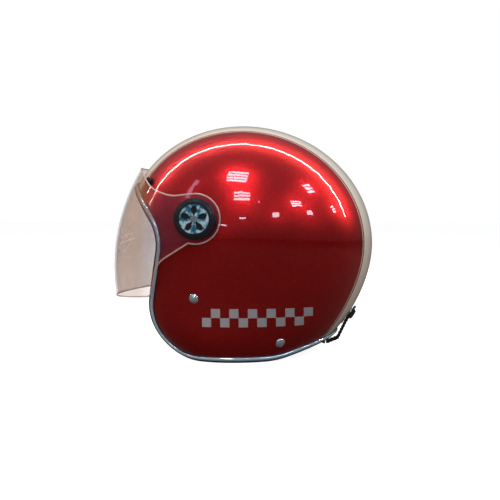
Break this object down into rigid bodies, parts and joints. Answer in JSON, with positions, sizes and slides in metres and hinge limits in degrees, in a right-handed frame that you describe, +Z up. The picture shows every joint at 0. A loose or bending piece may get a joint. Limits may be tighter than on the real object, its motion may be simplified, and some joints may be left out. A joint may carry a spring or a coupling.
{
  "type": "open face motorcycle helmet",
  "caption": "Open face motorcycle helmet with a clear visor on side pivots, chrome edge trim, padded lining, quick-release chin strap and a rear goggle-strap retainer.",
  "frame": {"origin": "on the ground under the middle of the helmet: the middle of the bounding box in X and Y, the underside of the edge rubber in Z", "axes": "+Z up, -X the way the wearer looks, -Y the wearer's left; the helmet is the same on both sides of Y = 0 apart from the buckle"},
  "size_m": [0.2894, 0.2498, 0.2502],
  "materials": {
    "shell_paint": "candy red metallic with clear coat and a cream centre stripe",
    "black_rubber": "matte",
    "chrome_trim": "polished",
    "chrome_fittings": "polished",
    "eps_foam": "moulded bead foam",
    "lining_fabric": "quilted knit",
    "visor_sheet": "clear with fine scratches",
    "steel": "plated",
    "black_plastic": "moulded",
    "red_plastic": "moulded",
    "black_leather": "grained",
    "webbing": "woven nylon"
  },
  "bodies": {
    "helmet": {"outer_shell": "shell_paint", "edge_rubber": "black_rubber", "edge_chrome": "chrome_trim", "impact_liner": "eps_foam", "comfort_lining": "lining_fabric", "neck_roll": "lining_fabric", "strap_rivets": "chrome_fittings", "rivet_washers": "steel", "brow_studs": "black_plastic", "buckle_housing": "black_plastic", "buckle_pin": "steel", "retainer_tab": "black_leather", "snap_stud": "steel", "tail_rivet": "steel", "cheek_pad_left": "lining_fabric", "strap_anchor_left": "webbing", "chin_strap_left": "webbing", "pivot_boss_left": "black_plastic", "pivot_washer_left": "black_rubber", "pivot_cap_left": "black_plastic", "pivot_star_left": "chrome_fittings", "pivot_screw_left": "chrome_fittings", "pivot_nut_left": "steel", "cheek_pad_right": "lining_fabric", "strap_anchor_right": "webbing", "chin_strap_right": "webbing", "pivot_boss_right": "black_plastic", "pivot_washer_right": "black_rubber", "pivot_cap_right": "black_plastic", "pivot_star_right": "chrome_fittings", "pivot_screw_right": "chrome_fittings", "pivot_nut_right": "steel"},
    "visor": {"visor": "visor_sheet"},
    "retainer": {"retainer_flap": "black_leather", "snap_cap": "black_plastic"},
    "tongue": {"buckle_tongue": "steel"},
    "lever": {"buckle_lever": "red_plastic"}
  },
  "joints": [
    {"name": "visor_hinge", "type": "hinge", "parent": "helmet", "child": "visor", "pos_m": [-0.03885, 0, 0.149], "axis": [0, 1, 0], "range_deg": [0, 30]},
    {"name": "retainer_hinge", "type": "hinge", "parent": "helmet", "child": "retainer", "pos_m": [0.09395, 0, 0.0084], "axis": [0, 1, 0], "range_deg": [0, 50]},
    {"name": "tongue_slide", "type": "slide", "parent": "helmet", "child": "tongue", "axis": [0, 1, 0], "range_m": [0, 0.006]},
    {"name": "lever_hinge", "type": "hinge", "parent": "helmet", "child": "lever", "pos_m": [0.00145, -0.007, 0.067], "axis": [1, 0, 0], "range_deg": [0, 30], "stiffness_Nm_per_rad": 0.02, "springref_deg": -11.46}
  ]
}
